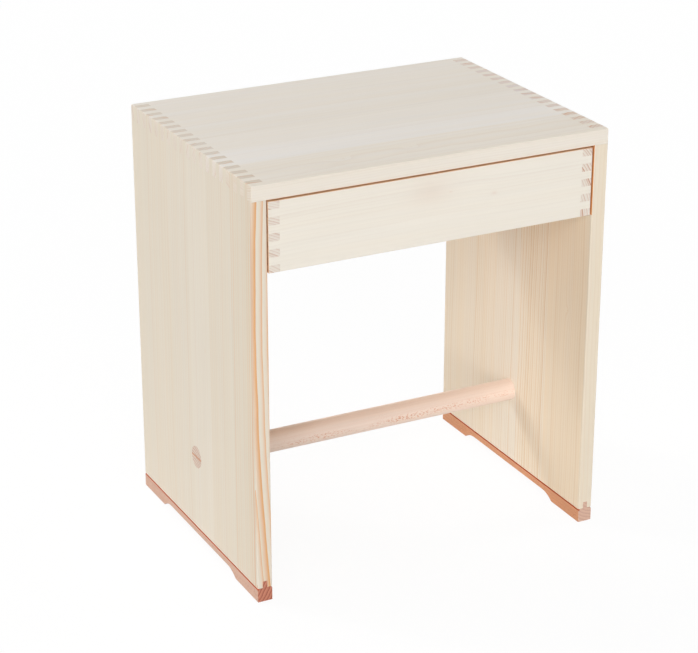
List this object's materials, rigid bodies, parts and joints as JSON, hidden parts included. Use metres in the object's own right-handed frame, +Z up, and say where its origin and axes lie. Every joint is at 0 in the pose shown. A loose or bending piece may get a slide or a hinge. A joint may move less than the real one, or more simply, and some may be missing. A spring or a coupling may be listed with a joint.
{
  "type": "stool with drawer",
  "caption": "Box-jointed wooden stool: flat seat on two side panels with foot rails, a round crossbar low down, and a plain drawer under the seat that slides out to the front.",
  "frame": {"origin": "on the floor, under the middle of the seat", "axes": "+X to the right as seen from the drawer front, -Y out of the drawer front, +Z up"},
  "size_m": [0.395, 0.296, 0.44],
  "materials": {
    "spruce": "clear matt",
    "drawer_spruce": "clear matt",
    "rail_beech": "clear matt",
    "bar_beech": "clear matt",
    "wedge_beech": "clear matt",
    "plywood": "sanded",
    "zinc": "zinc plated"
  },
  "bodies": {
    "carcass": {"seat_board": "spruce", "left_side_panel": "spruce", "right_side_panel": "spruce", "left_foot_rail": "rail_beech", "right_foot_rail": "rail_beech", "crossbar": "bar_beech", "left_tenon_wedge": "wedge_beech", "right_tenon_wedge": "wedge_beech", "left_drawer_runner": "rail_beech", "right_drawer_runner": "rail_beech", "left_runner_screw_1": "zinc", "left_runner_screw_2": "zinc", "left_runner_screw_3": "zinc", "right_runner_screw_1": "zinc", "right_runner_screw_2": "zinc", "right_runner_screw_3": "zinc"},
    "drawer": {"drawer_front": "drawer_spruce", "drawer_back": "drawer_spruce", "drawer_left_side": "drawer_spruce", "drawer_right_side": "drawer_spruce", "drawer_bottom": "plywood"}
  },
  "joints": [
    {"name": "drawer_slide", "type": "slide", "parent": "carcass", "child": "drawer", "axis": [0, -1, 0], "range_m": [0, 0.2]}
  ]
}
